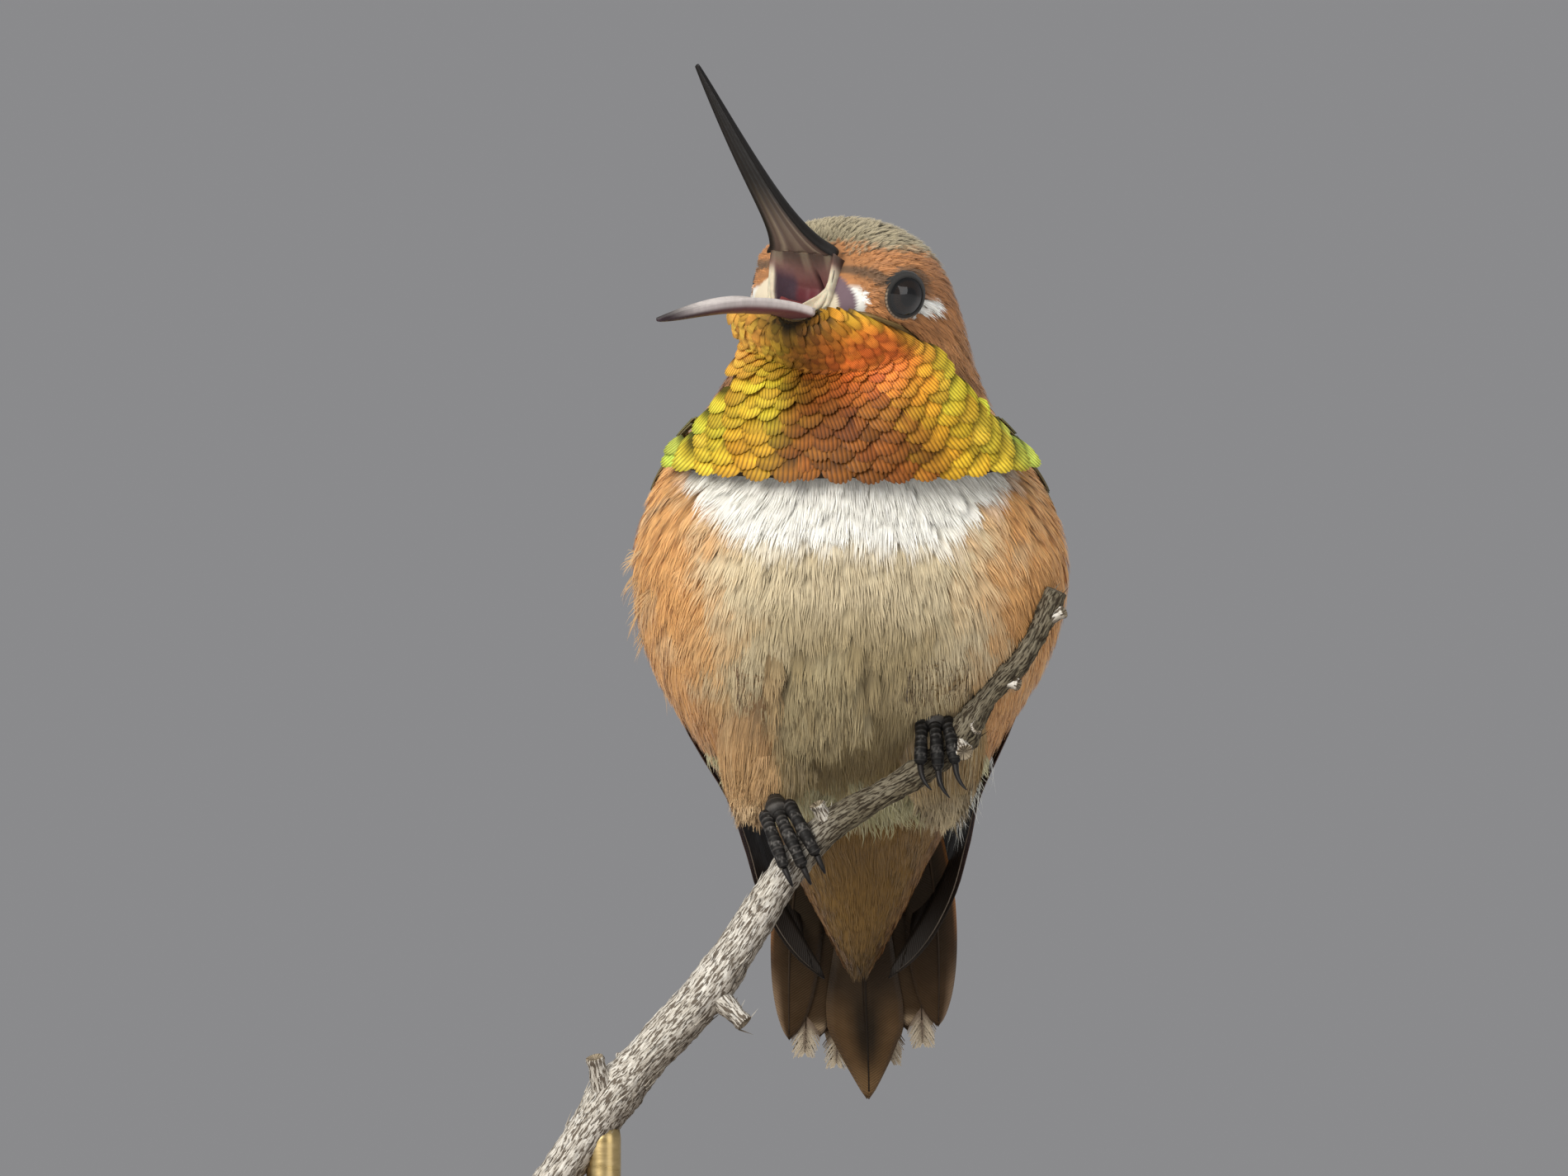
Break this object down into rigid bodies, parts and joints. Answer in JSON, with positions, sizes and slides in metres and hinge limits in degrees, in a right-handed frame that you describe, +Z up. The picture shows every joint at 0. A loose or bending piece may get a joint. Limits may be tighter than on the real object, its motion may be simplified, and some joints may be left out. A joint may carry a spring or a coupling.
{
  "type": "perched hummingbird model on a display stand",
  "caption": "Life-size still model of an adult male rufous hummingbird, singing with open bill on a cut twig, carried by a low round display stand.",
  "frame": {"origin": "centre of the stand's underside, on the floor", "axes": "+Z up through the stand, the bird upright above it; the bird's breast and bill point to -Y, and its own left side, where the twig rises, is +X"},
  "size_m": [0.054, 0.054, 0.077],
  "materials": {
    "belly_feathers": "soft cream and buff feathers",
    "breast_feathers": "soft white feathers",
    "undertail_feathers": "soft brown-orange feathers",
    "rufous_feathers": "soft rufous feathers",
    "gorget_feathers": "iridescent scale-like throat feathers, golden orange to lime",
    "wing_covert_feathers": "glossy greenish-bronze feathers",
    "flight_feathers": "stiff dark brown flight feathers",
    "horn": "satin dark horn",
    "mouth": "moist crimson and ivory skin",
    "eye": "wet black",
    "foot_skin": "scaled dark skin",
    "bark": "weathered grey bark",
    "walnut": "oiled, turned wood",
    "rod_brass": "brushed"
  },
  "bodies": {
    "root": {"belly": "belly_feathers", "bill_lower": "horn", "bill_upper": "horn", "breast": "breast_feathers", "claw_left_hind": "horn", "claw_left_inner": "horn", "claw_left_middle": "horn", "claw_left_outer": "horn", "claw_right_hind": "horn", "claw_right_inner": "horn", "claw_right_middle": "horn", "claw_right_outer": "horn", "eye_left": "eye", "eye_right": "eye", "head": "rufous_feathers", "leg_left": "foot_skin", "leg_right": "foot_skin", "mouth_lining": "mouth", "neck": "rufous_feathers", "perch_twig": "bark", "rump": "rufous_feathers", "stand_base": "walnut", "stand_rod": "rod_brass", "tail": "flight_feathers", "tail_coverts": "undertail_feathers", "thigh_left": "belly_feathers", "thigh_right": "belly_feathers", "throat_gorget": "gorget_feathers", "toe_left_hind": "foot_skin", "toe_left_inner": "foot_skin", "toe_left_middle": "foot_skin", "toe_left_outer": "foot_skin", "toe_right_hind": "foot_skin", "toe_right_inner": "foot_skin", "toe_right_middle": "foot_skin", "toe_right_outer": "foot_skin", "wing_left_coverts": "wing_covert_feathers", "wing_left_primaries": "flight_feathers", "wing_right_coverts": "wing_covert_feathers", "wing_right_primaries": "flight_feathers"}
  },
  "joints": []
}
